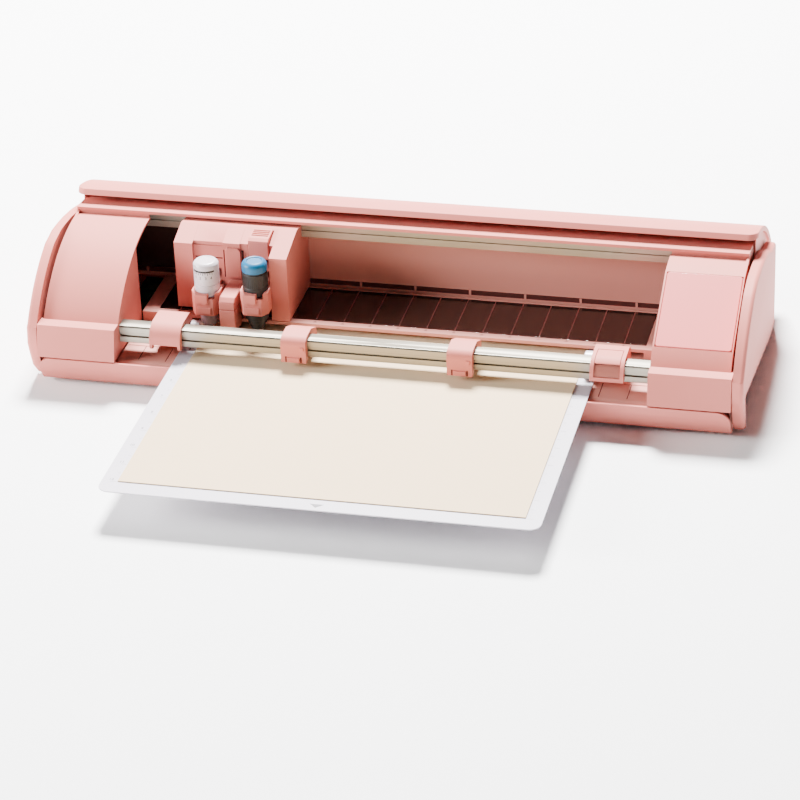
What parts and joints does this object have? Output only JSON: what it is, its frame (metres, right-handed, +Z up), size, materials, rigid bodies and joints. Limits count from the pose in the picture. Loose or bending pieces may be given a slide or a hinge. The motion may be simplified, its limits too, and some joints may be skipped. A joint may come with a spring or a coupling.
{
  "type": "die cutting machine",
  "caption": "Desktop die cutting machine with a curved lid, a two-tool carriage on a belt rail, pinch bar, feed roller, front drawer and a cutting mat with card.",
  "frame": {"origin": "centre of the whole object's footprint, on the surface it stands on", "axes": "+X to the machine's right seen from the front, +Y to its back, +Z up"},
  "size_m": [0.5666, 0.4244, 0.1134],
  "materials": {
    "pink_plastic": "fine moulded texture, satin",
    "inner_plastic": "satin",
    "gloss_panel": "high gloss",
    "white_plastic": "semi-gloss",
    "mauve_plastic": "satin",
    "charcoal_plastic": "satin",
    "blue_plastic": "gloss",
    "black_rubber": "matte",
    "aluminium": "extruded, brushed along its length",
    "steel": "brushed",
    "brass": "machined",
    "circuit_board": "solder mask",
    "card_stock": "matte",
    "frosted_sheet": "frosted, translucent",
    "clear_plastic": "clear"
  },
  "bodies": {
    "chassis": {"base_pan": "inner_plastic", "foot_front_left": "black_rubber", "foot_front_right": "black_rubber", "foot_rear_left": "black_rubber", "foot_rear_right": "black_rubber", "control_board": "circuit_board", "power_inlet": "charcoal_plastic", "side_cover_left": "pink_plastic", "side_cover_right": "pink_plastic", "pod_left": "pink_plastic", "pod_right": "pink_plastic", "touch_panel": "gloss_panel", "top_cover": "pink_plastic", "rear_cover": "pink_plastic", "platen": "inner_plastic", "cutting_strip": "mauve_plastic", "mat_guide": "inner_plastic", "guide_window": "clear_plastic", "back_wall": "inner_plastic", "roller_bush_left": "brass", "roller_bush_right": "brass", "feed_motor": "steel", "carriage_rail": "aluminium", "drive_belt": "black_rubber", "carriage_motor": "steel", "end_frame_left": "steel", "end_frame_right": "steel", "pinch_bar": "aluminium"},
    "lid": {"lid": "pink_plastic"},
    "carriage": {"carriage_body": "pink_plastic", "sensor_housing": "pink_plastic", "sensor_cap": "pink_plastic"},
    "idler_pulley": {"idler_pulley": "white_plastic"},
    "drive_pulley": {"drive_pulley": "brass"},
    "bay_2_button": {"bay_2_button": "pink_plastic"},
    "tool_lift_1": {"lift_block_1": "inner_plastic", "tool_1_body": "white_plastic", "tool_1_tip": "mauve_plastic"},
    "clamp_1": {"clamp_1": "pink_plastic"},
    "tool_lift_2": {"lift_block_2": "inner_plastic", "tool_2_body": "charcoal_plastic", "tool_2_cap": "blue_plastic", "tool_2_tip": "charcoal_plastic"},
    "clamp_2": {"clamp_2": "pink_plastic"},
    "feed_roller": {"feed_roller": "steel", "roller_gear": "white_plastic"},
    "motor_pinion": {"motor_pinion": "brass"},
    "mat": {"cutting_mat": "frosted_sheet", "paper_sheet": "card_stock"},
    "drawer": {"front_fascia": "pink_plastic", "drawer_tray": "inner_plastic"},
    "pinch_lever": {"pinch_lever": "pink_plastic"},
    "pinch_housing_1": {"pinch_housing_1": "pink_plastic"},
    "pinch_wheel_1": {"pinch_wheel_1": "white_plastic"},
    "pinch_housing_2": {"pinch_housing_2": "pink_plastic"},
    "pinch_wheel_2": {"pinch_wheel_2": "white_plastic"},
    "pinch_housing_3": {"pinch_housing_3": "pink_plastic"},
    "pinch_wheel_3": {"pinch_wheel_3": "white_plastic"},
    "pinch_housing_4": {"pinch_housing_4": "pink_plastic"},
    "pinch_wheel_4": {"pinch_wheel_4": "white_plastic"}
  },
  "joints": [
    {"name": "lid_close", "type": "hinge", "parent": "chassis", "child": "lid", "pos_m": [0, 0.08927, -0.0236], "axis": [1, 0, 0], "range_deg": [0, 58.5]},
    {"name": "carriage_travel", "type": "slide", "parent": "chassis", "child": "carriage", "axis": [1, 0, 0], "range_m": [-0.026, 0.295]},
    {"name": "idler_pulley_spin", "type": "hinge", "parent": "chassis", "child": "idler_pulley", "pos_m": [-0.226, 0.10677, 0.09247], "axis": [0, 0, 1], "range_deg": [-4100, 400]},
    {"name": "drive_pulley_spin", "type": "hinge", "parent": "chassis", "child": "drive_pulley", "pos_m": [0.226, 0.10677, 0.09247], "axis": [0, 0, 1], "range_deg": [-4100, 400]},
    {"name": "bay_2_button_press", "type": "slide", "parent": "carriage", "child": "bay_2_button", "axis": [0, 0, -1], "range_m": [0, 0.003], "stiffness_N_per_m": 300, "springref_m": -0.002},
    {"name": "mat_feed", "type": "slide", "parent": "chassis", "child": "mat", "axis": [0, 1, 0], "range_m": [-0.1, 0.23]},
    {"name": "feed_roller_spin", "type": "hinge", "parent": "chassis", "child": "feed_roller", "pos_m": [0, 0.02077, 0.0182], "axis": [1, 0, 0], "range_deg": [-1700, 750]},
    {"name": "motor_pinion_spin", "type": "hinge", "parent": "chassis", "child": "motor_pinion", "pos_m": [0.22, 0.03528, 0.0254], "axis": [1, 0, 0], "range_deg": [-1500, 3400]},
    {"name": "drawer_pull", "type": "slide", "parent": "chassis", "child": "drawer", "axis": [0, -1, 0], "range_m": [0, 0.065]},
    {"name": "tool_1_lower", "type": "slide", "parent": "carriage", "child": "tool_lift_1", "axis": [0, 0, -1], "range_m": [0, 0.003], "stiffness_N_per_m": 400, "springref_m": -0.003},
    {"name": "clamp_1_pull", "type": "slide", "parent": "tool_lift_1", "child": "clamp_1", "axis": [0, -1, 0], "range_m": [0, 0.003]},
    {"name": "tool_2_lower", "type": "slide", "parent": "carriage", "child": "tool_lift_2", "axis": [0, 0, -1], "range_m": [0, 0.003], "stiffness_N_per_m": 400, "springref_m": -0.003},
    {"name": "clamp_2_pull", "type": "slide", "parent": "tool_lift_2", "child": "clamp_2", "axis": [0, -1, 0], "range_m": [0, 0.003]},
    {"name": "pinch_housing_1_slide", "type": "slide", "parent": "chassis", "child": "pinch_housing_1", "axis": [1, 0, 0], "range_m": [-0.024, 0.045]},
    {"name": "pinch_wheel_1_spin", "type": "hinge", "parent": "pinch_housing_1", "child": "pinch_wheel_1", "pos_m": [-0.1722, 0.02077, 0.0376], "axis": [1, 0, 0], "range_deg": [-700, 1600]},
    {"name": "pinch_housing_2_slide", "type": "slide", "parent": "chassis", "child": "pinch_housing_2", "axis": [1, 0, 0], "range_m": [-0.015, 0.05]},
    {"name": "pinch_wheel_2_spin", "type": "hinge", "parent": "pinch_housing_2", "child": "pinch_wheel_2", "pos_m": [-0.068, 0.02077, 0.0376], "axis": [1, 0, 0], "range_deg": [-700, 1600]},
    {"name": "pinch_housing_3_slide", "type": "slide", "parent": "chassis", "child": "pinch_housing_3", "axis": [1, 0, 0], "range_m": [-0.05, 0.05]},
    {"name": "pinch_wheel_3_spin", "type": "hinge", "parent": "pinch_housing_3", "child": "pinch_wheel_3", "pos_m": [0.0638, 0.02077, 0.0376], "axis": [1, 0, 0], "range_deg": [-700, 1600]},
    {"name": "pinch_housing_4_slide", "type": "slide", "parent": "chassis", "child": "pinch_housing_4", "axis": [1, 0, 0], "range_m": [-0.02, 0.013]},
    {"name": "pinch_wheel_4_spin", "type": "hinge", "parent": "pinch_housing_4", "child": "pinch_wheel_4", "pos_m": [0.1778, 0.02077, 0.0376], "axis": [1, 0, 0], "range_deg": [-700, 1600]},
    {"name": "pinch_lever_lift", "type": "hinge", "parent": "pinch_housing_4", "child": "pinch_lever", "pos_m": [0.1778, 0.01227, 0.054], "axis": [-1, 0, 0], "range_deg": [0, 40]}
  ],
  "couplings": [
    {"joint": "idler_pulley_spin", "follows": "carriage_travel", "rad_per_m": -240.96},
    {"joint": "drive_pulley_spin", "follows": "carriage_travel", "rad_per_m": -240.96},
    {"joint": "feed_roller_spin", "follows": "mat_feed", "rad_per_m": -125},
    {"joint": "motor_pinion_spin", "follows": "mat_feed", "rad_per_m": 250},
    {"joint": "pinch_wheel_1_spin", "follows": "mat_feed", "rad_per_m": 117.65},
    {"joint": "pinch_wheel_2_spin", "follows": "mat_feed", "rad_per_m": 117.65},
    {"joint": "pinch_wheel_3_spin", "follows": "mat_feed", "rad_per_m": 117.65},
    {"joint": "pinch_wheel_4_spin", "follows": "mat_feed", "rad_per_m": 117.65}
  ]
}
